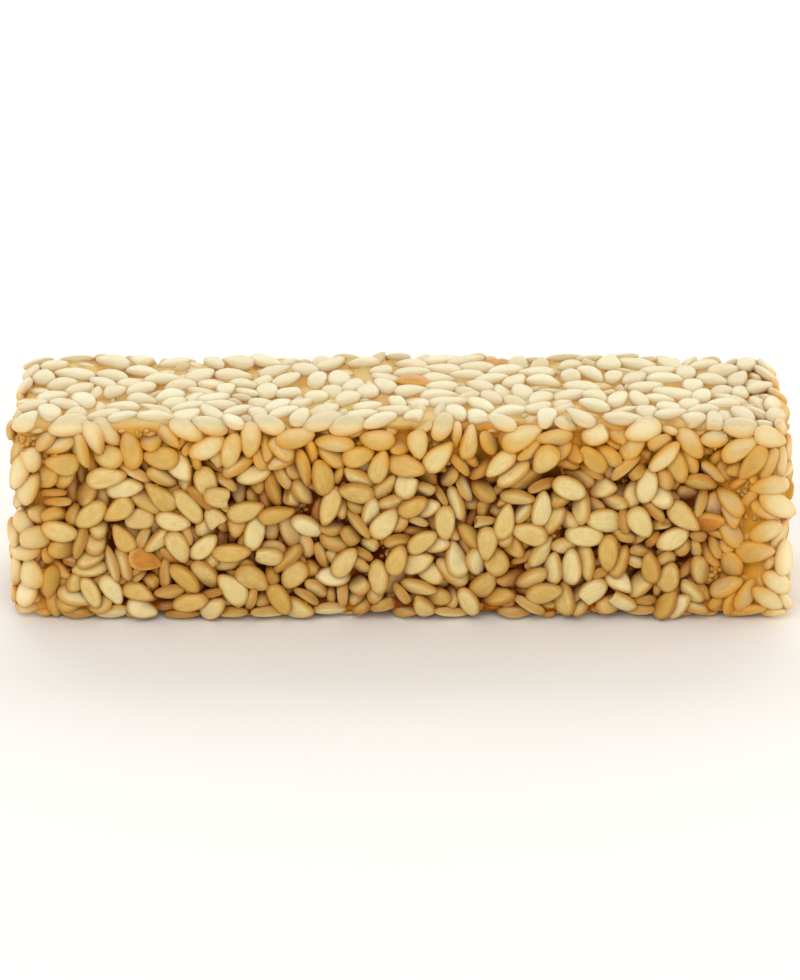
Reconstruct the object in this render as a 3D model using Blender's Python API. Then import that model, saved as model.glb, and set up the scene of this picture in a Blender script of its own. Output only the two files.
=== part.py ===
"""A cut bar of sesame brittle: pressed sesame seeds held in set honey syrup.

One solid out to the uneven outline of the seeds. It lies on its flat pressed underside, with its
length along X, its width along Y and its thickness along Z. The origin is under the middle of the
bar, on the surface that it rests on. All sizes are in metres.
"""

import math
import random

import bmesh
import bpy
import numpy as np

# The bar, over its seeds. Its ends lean out a little towards the underside.
LENGTH = 0.0688
WIDTH = 0.0173
THICKNESS = 0.0191
EDGE_RADIUS = 0.0015
END_LEAN = 0.00050

# A hulled sesame seed
SEED_LENGTH = 0.00325
SEED_WIDTH = 0.0020
SEED_STANDS_PROUD = 0.00060
SEED_SPACING = 0.00205
SEED_LIFT_SPREAD = 0.35

# The slow waviness of the pressed and cut sides
WAVE_HEIGHT = 0.00022
LONG_WAVE = 0.031
SHORT_WAVE = 0.0115
CROWN_HEIGHT = 0.00035
CROWN_PLACE = 0.0145
CROWN_SPREAD = 0.0075
END_DROP = 0.00040
END_DROP_LENGTH = 0.0090
FOOT_BULGE = 0.00050
FOOT_BULGE_PLACE = -0.0135
FOOT_BULGE_SPREAD = 0.0080
FOOT_BULGE_HEIGHT = 0.0060

# The underside is flat wherever its way out is this close to straight down
UNDERSIDE_SLOPE = 0.99

# How finely the outline is divided
FACET = 0.00104

RANDOM_SEED = 41
PLACING_TRIES = 9000

HALF_SIZE = np.array([LENGTH / 2, WIDTH / 2, THICKNESS / 2])


def clear_objects():
    """Remove every object that the scene starts with."""
    for item in list(bpy.data.objects):
        bpy.data.objects.remove(item, do_unlink=True)


def brittle_material():
    """The look of pale seeds in amber syrup, for the whole bar."""
    material = bpy.data.materials.new("sesame in honey syrup")
    material.use_nodes = True
    shader = material.node_tree.nodes["Principled BSDF"]
    shader.inputs["Base Color"].default_value = (0.68, 0.47, 0.18, 1.0)
    shader.inputs["Roughness"].default_value = 0.38
    shader.inputs["Metallic"].default_value = 0.0
    return material


def divided_block(bm):
    """Make a block of the bar's size, its sides divided into near-square facets."""
    bmesh.ops.create_cube(bm, size=1.0)
    bmesh.ops.scale(bm, vec=2.0 * HALF_SIZE, verts=bm.verts)
    for axis in range(3):
        along = [edge for edge in bm.edges if runs_along(edge, axis)]
        cuts = round(2.0 * HALF_SIZE[axis] / FACET) - 1
        bmesh.ops.subdivide_edges(bm, edges=along, cuts=cuts, use_grid_fill=True)


def runs_along(edge, axis):
    """Tell whether an edge of the block is parallel to one axis."""
    step = edge.verts[1].co - edge.verts[0].co
    return abs(step[axis]) > 0.9 * step.length


def rounded(points):
    """Move points of the block's sides onto the block with rounded edges.

    Returns the moved points and the way out of the solid at each of them.
    """
    core = HALF_SIZE - EDGE_RADIUS
    nearest = np.clip(points, -core, core)
    outward = points - nearest
    outward /= np.linalg.norm(outward, axis=1)[:, None]
    return nearest + EDGE_RADIUS * outward, outward


def slow_waves(points, outward):
    """The height of the bar's gentle unevenness at each point, along the way out."""
    x, y, z = points.T
    waves = np.sin(math.tau * (x + 0.7 * z) / LONG_WAVE + 0.8)
    waves += 0.7 * np.sin(math.tau * (x - 1.3 * y) / SHORT_WAVE + 2.1)
    waves += 0.6 * np.sin(math.tau * (z + 0.5 * y) / SHORT_WAVE + 0.3)
    height = WAVE_HEIGHT * waves
    upward = np.clip(outward[:, 2], 0.0, 1.0)
    height += upward * CROWN_HEIGHT * np.exp(-((x - CROWN_PLACE) / CROWN_SPREAD) ** 2)
    to_right_end = (HALF_SIZE[0] - x) / END_DROP_LENGTH
    height -= upward * END_DROP * np.exp(-to_right_end ** 2)
    frontward = np.clip(-outward[:, 1], 0.0, 1.0)
    above_foot = (z + HALF_SIZE[2]) / FOOT_BULGE_HEIGHT
    from_bulge = (x - FOOT_BULGE_PLACE) / FOOT_BULGE_SPREAD
    height += frontward * FOOT_BULGE * np.exp(-above_foot ** 2 - from_bulge ** 2)
    return height


def random_side_point(dice):
    """A random place on the block's five showing sides, by their areas."""
    length, width, thickness = 2.0 * HALF_SIZE
    areas = [length * thickness, length * thickness, length * width,
             width * thickness, width * thickness]
    side = dice.choices(range(5), weights=areas)[0]
    axis, sign = [(1, -1), (1, 1), (2, 1), (0, -1), (0, 1)][side]
    place = np.array([dice.uniform(-half, half) for half in HALF_SIZE])
    place[axis] = sign * HALF_SIZE[axis]
    return place


def place_seeds():
    """Scatter seeds over the sides, none nearer to another than the seed spacing.

    Returns their middles, their long, cross and outward directions, and how far each is sunk.
    """
    dice = random.Random(RANDOM_SEED)
    middles = np.empty((0, 3))
    for _ in range(PLACING_TRIES):
        place, _ = rounded(random_side_point(dice)[None])
        gaps = np.linalg.norm(middles - place, axis=1)
        if not len(gaps) or gaps.min() > SEED_SPACING:
            middles = np.vstack([middles, place])
    _, outward = rounded(middles * (1.0 + 1e-6))
    any_way = np.array([[dice.gauss(0, 1) for _ in range(3)] for _ in middles])
    long_way = any_way - outward * np.sum(any_way * outward, axis=1)[:, None]
    long_way /= np.linalg.norm(long_way, axis=1)[:, None]
    cross_way = np.cross(outward, long_way)
    height = np.array([1.0 - SEED_LIFT_SPREAD * dice.random() for _ in middles])
    return middles, long_way, cross_way, height


def seed_relief(points, seeds):
    """How far the seeds stand proud of the syrup at each point, from 0 to 1."""
    middles, long_way, cross_way, height = seeds
    relief = np.zeros(len(points))
    for middle, along, across, top in zip(middles, long_way, cross_way, height):
        step = points - middle
        out = np.cross(along, across)
        spread = (step @ along / (SEED_LENGTH / 2)) ** 2
        spread += (step @ across / (SEED_WIDTH / 2)) ** 2
        spread += (step @ out / (SEED_WIDTH / 2)) ** 2
        relief = np.maximum(relief, top * np.sqrt(np.clip(1.0 - spread, 0.0, None)))
    return relief


def press(points):
    """Turn points of the plain block into points of the finished outline."""
    surface, outward = rounded(points)
    height = slow_waves(surface, outward)
    height -= SEED_STANDS_PROUD * (1.0 - seed_relief(surface, place_seeds()))
    shaped = surface + height[:, None] * outward
    shaped[:, 0] *= 1.0 - END_LEAN / LENGTH * surface[:, 2] / HALF_SIZE[2]
    shaped[:, 2] = np.maximum(shaped[:, 2] + HALF_SIZE[2], 0.0)
    underside = outward[:, 2] < -UNDERSIDE_SLOPE
    shaped[underside, 2] = 0.0
    return shaped


def set_over_origin(shaped):
    """Slide the finished outline so that its box stands over the origin."""
    low = shaped.min(axis=0)
    high = shaped.max(axis=0)
    middle = (low + high) / 2
    middle[2] = low[2]
    return shaped - middle


def make_slab(parent):
    """Build the bar as one closed solid."""
    bm = bmesh.new()
    divided_block(bm)
    points = np.array([vert.co[:] for vert in bm.verts], dtype=float)
    for vert, place in zip(bm.verts, set_over_origin(press(points))):
        vert.co = place
    bmesh.ops.recalc_face_normals(bm, faces=bm.faces)
    bmesh.ops.triangulate(bm, faces=bm.faces, quad_method="BEAUTY")
    mesh = bpy.data.meshes.new("slab")
    bm.to_mesh(mesh)
    bm.free()
    mesh.shade_smooth()
    mesh.materials.append(brittle_material())
    slab = bpy.data.objects.new("slab", mesh)
    slab.parent = parent
    bpy.context.scene.collection.objects.link(slab)
    return slab


def main():
    """Build the bar under an empty at its reference point."""
    clear_objects()
    stand = bpy.data.objects.new("sesame_brittle", None)
    bpy.context.scene.collection.objects.link(stand)
    make_slab(stand)


main()
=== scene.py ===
"""The looks of a cut bar of sesame brittle: hulled sesame seeds pressed in set honey syrup.

The seeds are packed for real: each is pushed off its neighbours and in from the pressing board and
the cut sides until they lie as close as in the pan. The syrup is then the skin that surface tension
draws between them. All sizes are in metres unless a name says otherwise.
"""

import enum
import logging
import math
from dataclasses import dataclass, field

import bpy
import numpy as np
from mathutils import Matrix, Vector


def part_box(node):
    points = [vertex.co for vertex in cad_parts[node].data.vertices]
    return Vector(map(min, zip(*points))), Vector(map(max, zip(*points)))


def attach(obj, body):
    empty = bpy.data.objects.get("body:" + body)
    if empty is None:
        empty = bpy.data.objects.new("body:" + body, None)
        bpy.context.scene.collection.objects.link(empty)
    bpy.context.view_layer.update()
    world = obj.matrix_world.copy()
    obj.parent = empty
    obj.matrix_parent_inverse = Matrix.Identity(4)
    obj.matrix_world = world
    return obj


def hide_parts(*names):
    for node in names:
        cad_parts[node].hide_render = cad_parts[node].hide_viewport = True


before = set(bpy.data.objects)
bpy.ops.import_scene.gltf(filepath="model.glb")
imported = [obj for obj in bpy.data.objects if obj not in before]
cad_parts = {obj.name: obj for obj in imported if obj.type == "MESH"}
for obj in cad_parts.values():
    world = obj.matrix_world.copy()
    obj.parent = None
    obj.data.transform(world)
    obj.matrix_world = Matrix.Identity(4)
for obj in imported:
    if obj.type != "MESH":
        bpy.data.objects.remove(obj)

MM = 0.001
SLAB = "slab"
BODY = "root"
RANDOM_SEED = 7
WHOLE = 1.0
TURN = 2.0 * math.pi
# The inputs of a Map Range node that the finishes' rows of four numbers are for.
MAP_RANGE = ("From Min", "From Max", "To Min", "To Max")

log = logging.getLogger("sesame_brittle")


# --------------------------------------------------------------------------------------
# Small tools
# --------------------------------------------------------------------------------------

def linear(hex_colour: str) -> tuple[float, float, float, float]:
    """Turn an sRGB hex colour into the linear values that shaders take.

    Args:
        hex_colour: six hex digits, with or without a leading #.

    Returns:
        Linear red, green and blue, and an alpha of 1.
    """
    digits = hex_colour.lstrip("#")
    channels = [int(digits[at:at + 2], 16) / 255.0 for at in (0, 2, 4)]
    curve = [c / 12.92 if c <= 0.04045 else ((c + 0.055) / 1.055) ** 2.4 for c in channels]
    return (*curve, 1.0)


def add_node(tree: bpy.types.NodeTree, kind: str, settings: dict | None = None,
             **links: object) -> bpy.types.Node:
    """Add a shader node, set its values and link its inputs.

    Args:
        tree: the material's node tree.
        kind: the node's type, such as ShaderNodeMix, or the name of a node that is there already.
        settings: values by property name or by input name or number.
        links: output sockets by input name, with spaces as underscores, or by i and a number.

    Returns:
        The node.
    """
    node = tree.nodes.get(kind) or tree.nodes.new(kind)
    for name, value in (settings or {}).items():
        if isinstance(name, str) and hasattr(node, name):
            setattr(node, name, value)
        else:
            node.inputs[name].default_value = value
    for name, socket in links.items():
        place = int(name[1:]) if name[1:].isdigit() else name.replace("_", " ")
        tree.links.new(socket, node.inputs[place])
    return node


def mesh_object(name: str, points: np.ndarray, triangles: np.ndarray) -> bpy.types.Object:
    """Make a smooth mesh object from arrays.

    Args:
        name: the piece's name.
        points: one row of x, y and z for each vertex.
        triangles: one row of three vertex numbers for each face.

    Returns:
        The object, linked to the scene.
    """
    mesh = bpy.data.meshes.new(name)
    mesh.vertices.add(len(points))
    mesh.vertices.foreach_set("co", points.astype(np.float32).ravel())
    mesh.loops.add(triangles.size)
    mesh.loops.foreach_set("vertex_index", triangles.astype(np.int32).ravel())
    mesh.polygons.add(len(triangles))
    mesh.polygons.foreach_set("loop_start", np.arange(0, triangles.size, 3, dtype=np.int32))
    mesh.update(calc_edges=True)
    mesh.validate()
    mesh.shade_smooth()
    piece = bpy.data.objects.new(name, mesh)
    bpy.context.scene.collection.objects.link(piece)
    return piece


def vertices(piece: bpy.types.Object) -> np.ndarray:
    """Read where the vertices of a piece's mesh are.

    Args:
        piece: the mesh object.

    Returns:
        One row of x, y and z for each vertex.
    """
    flat = np.empty(len(piece.data.vertices) * 3, dtype=np.float32)
    piece.data.vertices.foreach_get("co", flat)
    return flat.reshape(-1, 3).astype(float)


def store(piece: bpy.types.Object, name: str, values: np.ndarray) -> None:
    """Keep one number or vector for each vertex of a piece, for its material to read.

    Args:
        piece: the mesh object.
        name: the name that the material asks for.
        values: one value or one row of three for each vertex.
    """
    kind, part = ("FLOAT", "value") if values.ndim == 1 else ("FLOAT_VECTOR", "vector")
    layer = piece.data.attributes.new(name, kind, "POINT")
    layer.data.foreach_set(part, values.astype(np.float32).ravel())


def new_material(name: str) -> tuple[bpy.types.Material, bpy.types.NodeTree]:
    """Start a material.

    Args:
        name: the material's name.

    Returns:
        The material with its Principled shader, and its node tree.
    """
    made = bpy.data.materials.new(name)
    made.use_nodes = True
    return made, made.node_tree


def triangle_count(piece: bpy.types.Object) -> int:
    """The number of triangles of a piece's mesh."""
    return sum(len(face.vertices) - 2 for face in piece.data.polygons)


def lengths(vectors: np.ndarray) -> np.ndarray:
    """The length of each vector along the last axis, kept as a last axis of one."""
    squares = vectors * vectors
    return np.sqrt(squares[..., 0] + squares[..., 1] + squares[..., 2])[..., None]


def dot(first: np.ndarray, second: np.ndarray) -> np.ndarray:
    """The dot product along the last axis."""
    return (first[..., 0] * second[..., 0] + first[..., 1] * second[..., 1]
            + first[..., 2] * second[..., 2])


def smooth_step(low: float, high: float, values: np.ndarray) -> np.ndarray:
    """Rise smoothly from 0 at low to 1 at high.

    Args:
        low: where the rise starts.
        high: where it ends.
        values: the places to work it out for.

    Returns:
        One number from 0 to 1 for each value.
    """
    part = np.clip((values - low) / (high - low), 0.0, 1.0)
    return part * part * (3.0 - 2.0 * part)


# --------------------------------------------------------------------------------------
# The outer form of the bar
# --------------------------------------------------------------------------------------

@dataclass
class PressedBar:
    """The pressed and cut form that the seeds fill, set inside the slab's box.

    The top and the underside were pressed flat. The four sides are cut through the seeds, so they
    are rougher.
    """

    low: np.ndarray
    high: np.ndarray
    inset: tuple[float, float, float] = (0.50 * MM, 0.34 * MM, 0.15 * MM)
    edge_radius: float = 1.5 * MM
    wave_height: float = 0.14 * MM
    long_wave: float = 31.0 * MM
    short_wave: float = 11.5 * MM
    cut_roughness: float = 0.22 * MM
    cut_lump: float = 4.6 * MM
    crown_height: float = 0.35 * MM
    crown_place: float = 14.5 * MM
    crown_spread: float = 7.5 * MM
    end_drop: float = 0.55 * MM
    end_drop_length: float = 9.0 * MM
    end_lean: float = 0.75 * MM
    foot_bulge: float = 0.42 * MM
    foot_bulge_place: float = -13.5 * MM
    foot_bulge_spread: float = 8.0 * MM
    foot_bulge_height: float = 6.0 * MM
    scallop: float = 0.55 * MM
    scallop_length: float = 6.3 * MM
    scallop_height: float = 1.3 * MM
    scallop_mean: float = 0.38
    scallop_swing: float = 0.33

    def __post_init__(self) -> None:
        """Work out the middle and the half sizes from the box."""
        self.middle = (self.low + self.high) / 2.0
        self.half = (self.high - self.low) / 2.0 - np.array(self.inset)

    def unevenness(self, points: np.ndarray, outward: np.ndarray) -> np.ndarray:
        """How far the form stands out of its plain box at each point.

        Args:
            points: places in the bar, from its middle.
            outward: the way out of the bar there.

        Returns:
            A height in metres for each point.
        """
        x, y, z = points[..., 0], points[..., 1], points[..., 2]
        # Slow waves of the whole pan, each with its own way across the bar and its own start.
        waves = np.sin(TURN * (x + 0.7 * z) / self.long_wave + 0.8)
        waves += 0.7 * np.sin(TURN * (x - 1.3 * y) / self.short_wave + 2.1)
        waves += 0.6 * np.sin(TURN * (z + 0.5 * y) / self.short_wave + 0.3)
        height = self.wave_height * waves
        # Lumps that only the cut sides have, from three crossing waves.
        cut = 1.0 - np.abs(outward[..., 2])
        lumps = np.sin(TURN * (x + 0.4 * z + 0.3 * y) / self.cut_lump + 1.0)
        lumps += np.sin(TURN * (0.8 * x - 0.9 * z + 0.6 * y) / self.cut_lump + 4.0)
        lumps += np.sin(TURN * (0.3 * x + 1.1 * z - 0.8 * y) / self.cut_lump + 2.5)
        height += cut * self.cut_roughness * lumps * 0.6
        # The crown and the lower right end of the top, and the bulge at the foot of the front.
        upward = np.clip(outward[..., 2], 0.0, 1.0)
        crown = np.exp(-((x - self.crown_place) / self.crown_spread) ** 2)
        drop = np.exp(-((self.half[0] - x) / self.end_drop_length) ** 2)
        height += upward * (self.crown_height * crown - self.end_drop * drop)
        frontward = np.clip(-outward[..., 1], 0.0, 1.0)
        above_foot = (z + self.half[2]) / self.foot_bulge_height
        from_bulge = (x - self.foot_bulge_place) / self.foot_bulge_spread
        height += frontward * self.foot_bulge * np.exp(-above_foot ** 2 - from_bulge ** 2)
        # The scalloped lower edge. The underside itself stays flat.
        downward = np.clip(-outward[..., 2], 0.0, 1.0)
        low_edge = np.exp(-((z + self.half[2]) / self.scallop_height) ** 2) * (1.0 - downward ** 4)
        wave = np.sin(TURN * x / self.scallop_length + 0.9)
        wave += np.sin(TURN * x / (2.7 * self.scallop_length) + 3.6)
        wave += np.sin(TURN * (x + 2.0 * y) / (0.61 * self.scallop_length))
        height -= low_edge * self.scallop * (self.scallop_mean + self.scallop_swing * wave)
        return height * (1.0 - downward ** 4)

    def wall(self, places: np.ndarray) -> tuple[np.ndarray, np.ndarray]:
        """Measure places against the outer form.

        Args:
            places: points in the frame.

        Returns:
            The distance out of the form, less than 0 inside, and the way out at each place.
        """
        points = places - self.middle
        lean = self.end_lean / (2.0 * self.half[0]) * points[..., 2] / self.half[2]
        points[..., 0] *= 1.0 + lean
        core = self.half - self.edge_radius
        beyond = np.abs(points) - core
        past = np.maximum(beyond, 0.0)
        reach = lengths(past)
        deepest = beyond.max(axis=-1)
        distance = reach[..., 0] + np.minimum(deepest, 0.0) - self.edge_radius
        side = (beyond >= deepest[..., None]).astype(float)
        outward = np.where(reach > 0.0, past / np.maximum(reach, 1e-12), side)
        outward *= np.where(points < 0.0, -1.0, 1.0)
        return distance - self.unevenness(points, outward), outward

    def inside(self, places: np.ndarray) -> np.ndarray:
        """How far inside the nearer end, the nearer long side and the top places are.

        Args:
            places: points in the frame.

        Returns:
            Three distances in metres for each place.
        """
        points = places - self.middle
        inside = self.half - np.abs(points)
        inside[..., 2] = self.half[2] - points[..., 2]
        return inside

    def from_edge(self, places: np.ndarray) -> np.ndarray:
        """How far places are from the nearest upper or end edge, where light comes through."""
        return np.maximum(np.sort(self.inside(places), axis=-1)[..., 1], 0.0)

    def from_open_face(self, places: np.ndarray) -> np.ndarray:
        """How far inside the nearest face other than the underside places are."""
        return self.inside(places).min(axis=-1)


# --------------------------------------------------------------------------------------
# The seeds
# --------------------------------------------------------------------------------------

class SeedKind(enum.Enum):
    """The kinds of seed in the mix, by how far they are toasted or whether they are whole."""

    IVORY = "seeds_ivory"
    CREAM = "seeds_cream"
    STRAW = "seeds_straw"
    GOLDEN = "seeds_golden"
    TOASTED = "seeds_toasted"
    SPLIT = "seeds_split"


# How much of the mix each kind is. The few toasted seeds are placed one by one.
KIND_SHARES = {
    SeedKind.IVORY: 0.23,
    SeedKind.CREAM: 0.27,
    SeedKind.STRAW: 0.272,
    SeedKind.GOLDEN: 0.163,
    SeedKind.TOASTED: 0.0,
    SeedKind.SPLIT: 0.065,
}


@dataclass
class SeedShape:
    """A hulled sesame seed: a flattened drop with a blunt end and a narrower one."""

    length: float = 3.25 * MM
    width: float = 2.00 * MM
    thickness: float = 0.94 * MM
    taper: float = 0.15
    face_power: float = 0.72
    bow: float = 0.10 * MM
    squareness: float = 0.05
    lopsidedness: float = 0.03
    thinner_ends: float = 0.25
    dent: float = 0.05
    raggedness: float = 0.16
    break_slope: float = 0.06

    def points(self, around: int, rings: int, taper: float, bow: float, dents: np.ndarray,
               broken_at: float) -> tuple[np.ndarray, np.ndarray]:
        """The seed's surface, as rings from the middle of one flat face to the other.

        Args:
            around: points on each ring.
            rings: bands from face to face.
            taper: how much narrower the pointed end is.
            bow: how far the ends are bent to one side.
            dents: three phases that give each shape its own unevenness.
            broken_at: where the pointed end broke off, as a share of the length, or WHOLE.

        Returns:
            The points, and how near each is to the rim, from 0 to 1.
        """
        angle = np.arange(around) * (TURN / around)
        slope = (np.arange(1, rings) / rings - 0.5) * math.pi
        spread = np.cos(slope) ** self.face_power
        rise = np.sign(slope) * np.abs(np.sin(slope)) ** self.face_power
        cos_a, sin_a = np.cos(angle), np.sin(angle)
        tip = 1.0 + self.squareness * np.cos(2.0 * angle)
        tip = tip + self.lopsidedness * np.cos(3.0 * angle + dents[0])
        along = self.length / 2.0 * cos_a * tip
        narrowing = 1.0 - taper * (cos_a + 0.5 * cos_a ** 3)
        across = self.width / 2.0 * sin_a * narrowing * tip
        x = np.outer(spread, along)
        y = np.outer(spread, across)
        plump = 1.0 - self.thinner_ends * (x / self.length * 2.0) ** 2
        plump += self.dent * np.sin(2.4 * x / self.width + dents[1]) * np.cos(dents[2])
        z = self.thickness / 2.0 * rise[:, None] * plump
        rim = np.repeat(spread, around)
        ring_points = np.stack([x, y, z], axis=-1).reshape(-1, 3)
        poles = np.array([[0, 0, -self.thickness / 2.0], [0, 0, self.thickness / 2.0]])
        points = np.vstack([ring_points, poles])
        points[:, 2] += bow * (4.0 * (points[:, 0] / self.length) ** 2 - 0.5)
        ragged = 0.10 * np.sin(points[:, 1] / self.width * 9.0 + dents[1])
        ragged += 0.08 * np.sin(points[:, 2] / self.thickness * 7.0 + dents[0])
        limit = (broken_at + self.raggedness * ragged) * self.length
        points[:, 0] = np.minimum(points[:, 0], limit + self.break_slope * (points[:, 0] - limit))
        return points, np.append(rim, [0.0, 0.0])

    @staticmethod
    def faces(around: int, rings: int) -> np.ndarray:
        """The triangles between the rings of points, facing out.

        Args:
            around: points on each ring.
            rings: bands from face to face.

        Returns:
            One row of three point numbers for each triangle.
        """
        step = np.arange(around)
        following = (step + 1) % around
        found = []
        for ring in range(rings - 2):
            near, far = ring * around, (ring + 1) * around
            found.append([near + step, near + following, far + following])
            found.append([near + step, far + following, far + step])
        last = (rings - 2) * around
        low_pole = np.full(around, (rings - 1) * around)
        found.append([following, step, low_pole])
        found.append([last + step, last + following, low_pole + 1])
        return np.vstack([np.stack(corners, axis=1) for corners in found])


@dataclass
class PackedSeeds:
    """Where the settled seeds are: middles, turns, and scales of length, width and thickness."""

    middles: np.ndarray
    axes: np.ndarray
    scales: np.ndarray
    broken_at: np.ndarray

    def kept(self, keep: np.ndarray) -> "PackedSeeds":
        """The same seeds without those that are not kept."""
        return PackedSeeds(self.middles[keep], self.axes[keep], self.scales[keep],
                           self.broken_at[keep])


@dataclass
class SeedPacking:
    """Presses loose seeds together inside the bar's form until they lie as in the pan.

    For pushing, each seed is nine balls as wide as the seed is thick. Each round moves and turns
    every seed off the seeds that it overlaps and in from the walls.
    """

    bar: PressedBar
    shape: SeedShape = field(default_factory=SeedShape)
    shell: float = 2.7 * MM
    fill: float = 0.68
    seed_volume: float = 3.45 * MM ** 3
    rounds: int = 170
    growth_rounds: int = 105
    gap_rounds: int = 40
    search_every: int = 4
    reach_margin: float = 0.16 * MM
    press_flat: float = 0.08
    cut_flat: float = 0.010
    swing: float = 0.85 * MM
    gap_cell: float = 0.20 * MM
    gap_depth: float = 0.50 * MM
    gap_spacing: float = 1.5 * MM
    gap_border: int = 3
    gap_look: float = 1.35 * MM
    gap_swing: float = 0.3 * MM
    gap_scales: tuple[float, float] = (0.84, 1.0)
    tries: int = 6
    scale_spread: tuple[float, float, float] = (0.070, 0.085, 0.09)
    scale_limits: tuple[float, float] = (0.80, 1.16)
    first_size: float = 0.62
    second_size: float = 0.97
    ease: float = 0.8
    longest_move: float = 0.25 * MM
    largest_turn: float = 0.25
    flat_reach: float = 1.0 * MM
    clear_of_wall: float = 0.3 * MM

    def ball_places(self) -> np.ndarray:
        """Place the nine balls in a seed of the standard size.

        Returns:
            The balls' middles.
        """
        radius = self.shape.thickness / 2.0
        end = self.shape.length / 2.0 - radius
        side = self.shape.width / 2.0 - radius
        # The ends, the middle and the sides, then four more, closer in at the narrow end.
        return np.array([
            (-end, 0, 0), (end, 0, 0), (0, 0, 0), (0, side, 0), (0, -side, 0),
            (-0.55 * end, 0.72 * side, 0), (-0.55 * end, -0.72 * side, 0),
            (0.55 * end, 0.60 * side, 0), (0.55 * end, -0.60 * side, 0)])

    def start(self, dice: np.random.Generator) -> tuple[np.ndarray, np.ndarray, np.ndarray]:
        """Scatter the seeds through the outer layer of the bar.

        Args:
            dice: the random draws.

        Returns:
            The seeds' middles, their turns as quaternions, and their scales.
        """
        size = 2.0 * self.bar.half
        inner = size - 2.0 * self.shell
        space = size[0] * size[1] * size[2] - inner[0] * inner[1] * inner[2]
        count = int(space * self.fill / self.seed_volume)
        drawn = self.bar.middle + (dice.random((count * self.tries, 3)) - 0.5) * size
        distance, _ = self.bar.wall(drawn)
        layer = drawn[(distance < -self.clear_of_wall) & (distance > -self.shell)][:count]
        turns = dice.normal(size=(len(layer), 4))
        turns /= np.sqrt((turns * turns).sum(axis=1))[:, None]
        scales = dice.normal(1.0, self.scale_spread, (len(layer), 3))
        scales = np.clip(scales, *self.scale_limits)
        return layer, turns, scales

    @staticmethod
    def seed_axes(turns: np.ndarray) -> np.ndarray:
        """The length, width and thickness directions of each seed.

        Args:
            turns: unit quaternions.

        Returns:
            For each seed, three rows of directions.
        """
        w, x, y, z = turns.T
        return np.stack([
            np.stack([1 - 2 * (y * y + z * z), 2 * (x * y + w * z), 2 * (x * z - w * y)], -1),
            np.stack([2 * (x * y - w * z), 1 - 2 * (x * x + z * z), 2 * (y * z + w * x)], -1),
            np.stack([2 * (x * z + w * y), 2 * (y * z - w * x), 1 - 2 * (x * x + y * y)], -1)],
            axis=1)

    @staticmethod
    def spin(turns: np.ndarray, turn: np.ndarray) -> np.ndarray:
        """Turn each seed a little further.

        Args:
            turns: unit quaternions.
            turn: small turns as vectors in radians.

        Returns:
            The new unit quaternions.
        """
        w, x, y, z = turns.T
        a, b, c = 0.5 * turn.T
        moved = turns + np.stack([-a * x - b * y - c * z, a * w + b * z - c * y,
                                  b * w + c * x - a * z, c * w + a * y - b * x], axis=1)
        size = moved * moved
        return moved / np.sqrt(size[:, 0] + size[:, 1] + size[:, 2] + size[:, 3])[:, None]

    @staticmethod
    def close_pairs(balls: np.ndarray, owner: np.ndarray,
                    reach: float) -> tuple[np.ndarray, np.ndarray]:
        """Find the pairs of balls of different seeds that are within reach of each other.

        Args:
            balls: the balls' middles.
            owner: the seed that each ball belongs to.
            reach: the largest distance between two middles.

        Returns:
            The numbers of the first and the second ball of each pair.
        """
        cells = np.floor((balls - balls.min(axis=0)) / reach).astype(np.int64) + 1
        row = cells[:, 0].max() + 2
        layer = row * (cells[:, 1].max() + 2)
        key = cells[:, 0] + row * cells[:, 1] + layer * cells[:, 2]
        order = np.argsort(key, kind="stable")
        key = key[order]
        place = np.arange(len(key))
        firsts, seconds = [], []
        steps = [(a, b, c) for c in (0, 1) for b in (-1, 0, 1) for a in (-1, 0, 1)]
        for a, b, c in steps:
            shift = a + row * b + layer * c
            if shift < 0:
                continue
            start = place + 1 if shift == 0 else np.searchsorted(key, key + shift, "left")
            stop = np.searchsorted(key, key + shift, "right")
            number = np.maximum(stop - start, 0)
            first = np.repeat(place, number)
            within = np.arange(number.sum()) - np.repeat(np.cumsum(number) - number, number)
            second = start[first] + within
            firsts.append(order[first])
            seconds.append(order[second])
        first, second = np.concatenate(firsts), np.concatenate(seconds)
        apart = lengths(balls[first] - balls[second])[:, 0]
        near = (apart < reach) & (owner[first] != owner[second])
        return first[near], second[near]

    @staticmethod
    def gather(owner: np.ndarray, values: np.ndarray, count: int) -> np.ndarray:
        """Add up vectors by the seed that they belong to.

        Args:
            owner: the seed of each vector.
            values: the vectors.
            count: the number of seeds.

        Returns:
            One sum for each seed.
        """
        return np.stack([np.bincount(owner, values[:, axis], count) for axis in range(3)], 1)

    def arms(self, axes: np.ndarray, scales: np.ndarray) -> np.ndarray:
        """The way from each seed's middle to its balls.

        Args:
            axes: the seeds' directions.
            scales: the seeds' scales.

        Returns:
            For each seed, one vector for each ball.
        """
        places = self.ball_places()
        return (places[None, :, 0, None] * scales[:, None, 0, None] * axes[:, None, 0]
                + places[None, :, 1, None] * scales[:, None, 1, None] * axes[:, None, 1])

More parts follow.
